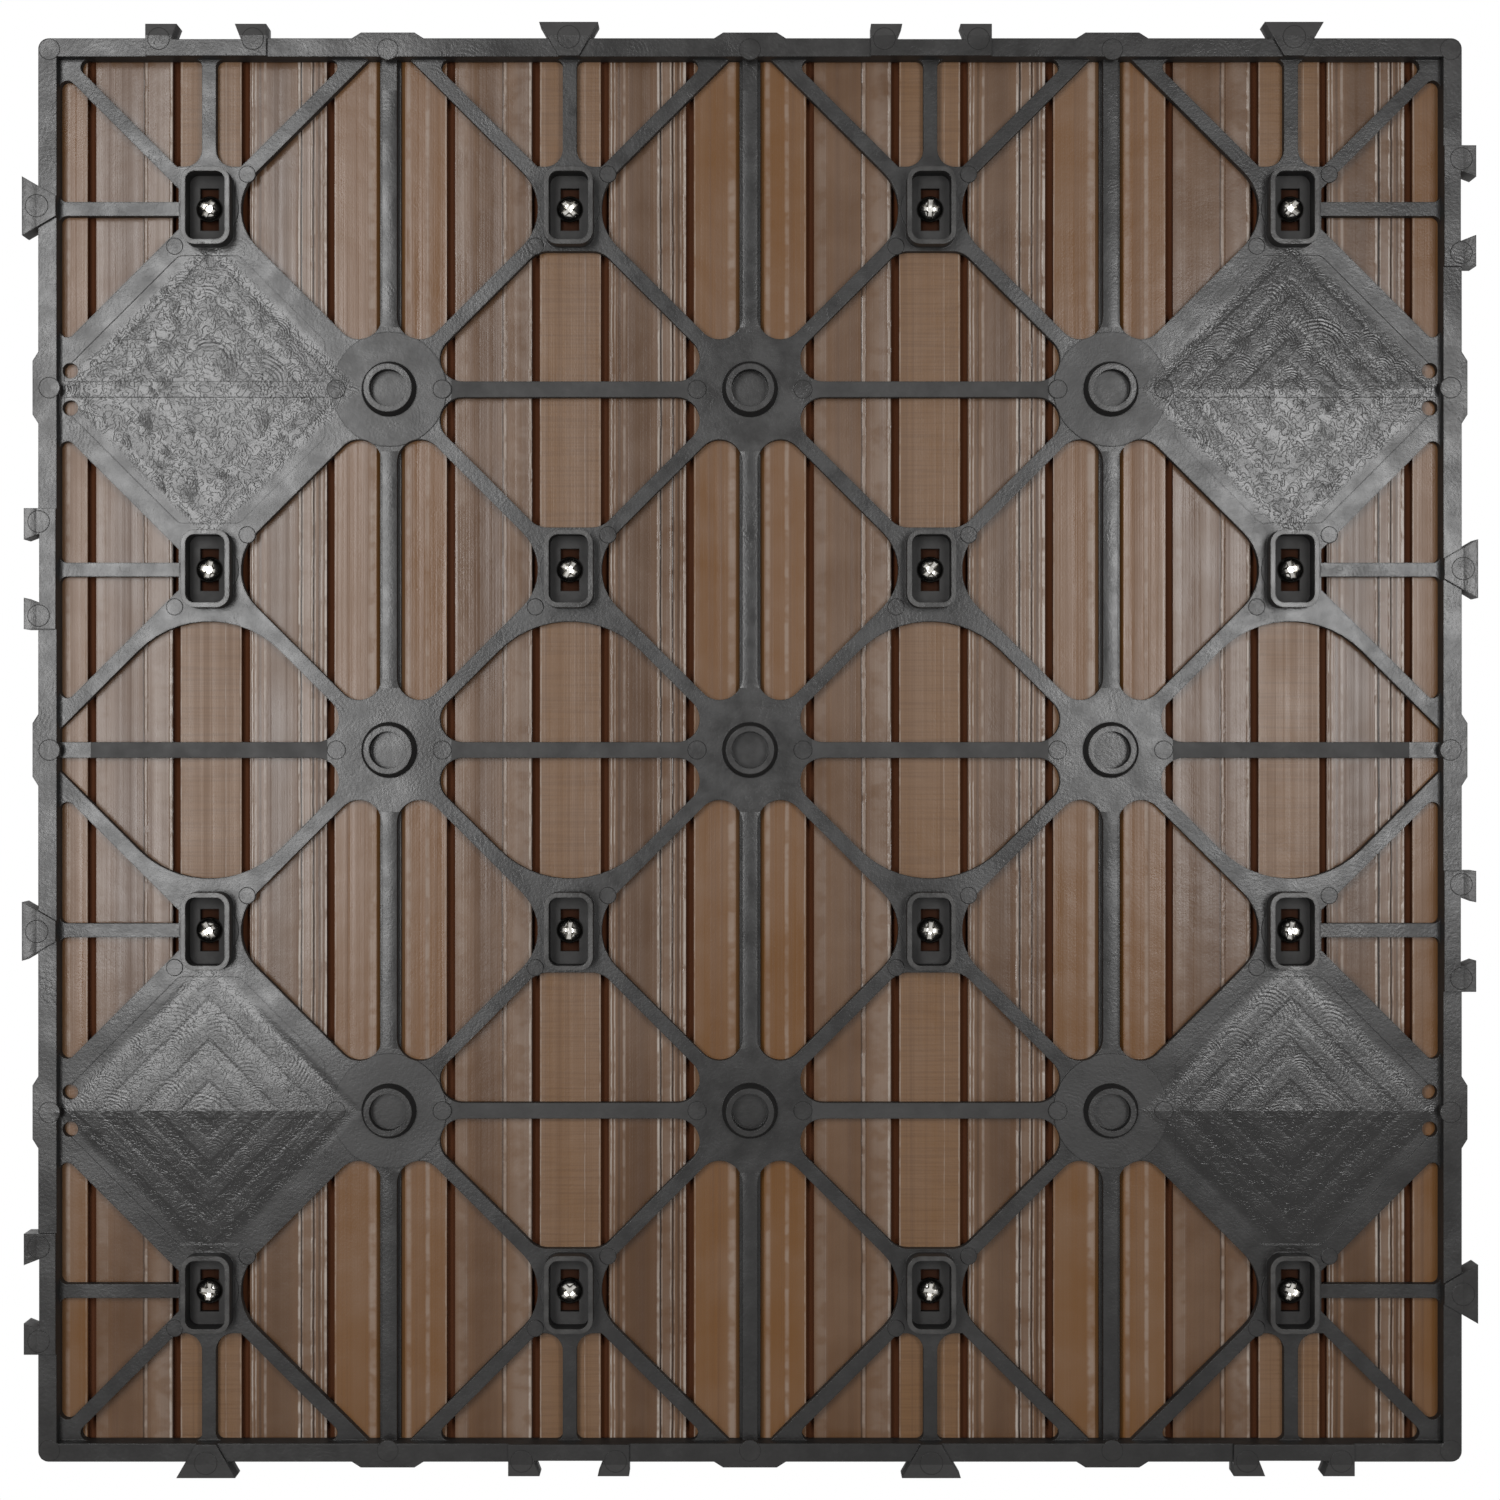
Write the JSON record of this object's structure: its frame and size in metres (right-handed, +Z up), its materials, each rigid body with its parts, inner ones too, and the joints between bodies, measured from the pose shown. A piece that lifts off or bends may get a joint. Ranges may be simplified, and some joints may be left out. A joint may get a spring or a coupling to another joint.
{
  "type": "interlocking deck tile",
  "caption": "Square interlocking deck tile: ribbed composite slats screwed onto a moulded plastic grid with cup feet, screw bosses and dovetail tabs and sockets round its edge.",
  "frame": {"origin": "middle of the tile, on the ground plane that the boss rims stand on", "axes": "+Z up through the walking surface, slats run along Y, four slats side by side along X"},
  "size_m": [0.3034, 0.3034, 0.022],
  "materials": {
    "grid_plastic": "satin dark grey moulded polypropylene",
    "composite": "brushed brown wood-plastic composite, lengthwise extrusion lines",
    "screw_steel": "bright stainless steel"
  },
  "bodies": {
    "root": {"base_grid": "grid_plastic", "slat_1": "composite", "slat_2": "composite", "slat_3": "composite", "slat_4": "composite", "slat_1_screws": "screw_steel", "slat_2_screws": "screw_steel", "slat_3_screws": "screw_steel", "slat_4_screws": "screw_steel"}
  },
  "joints": []
}
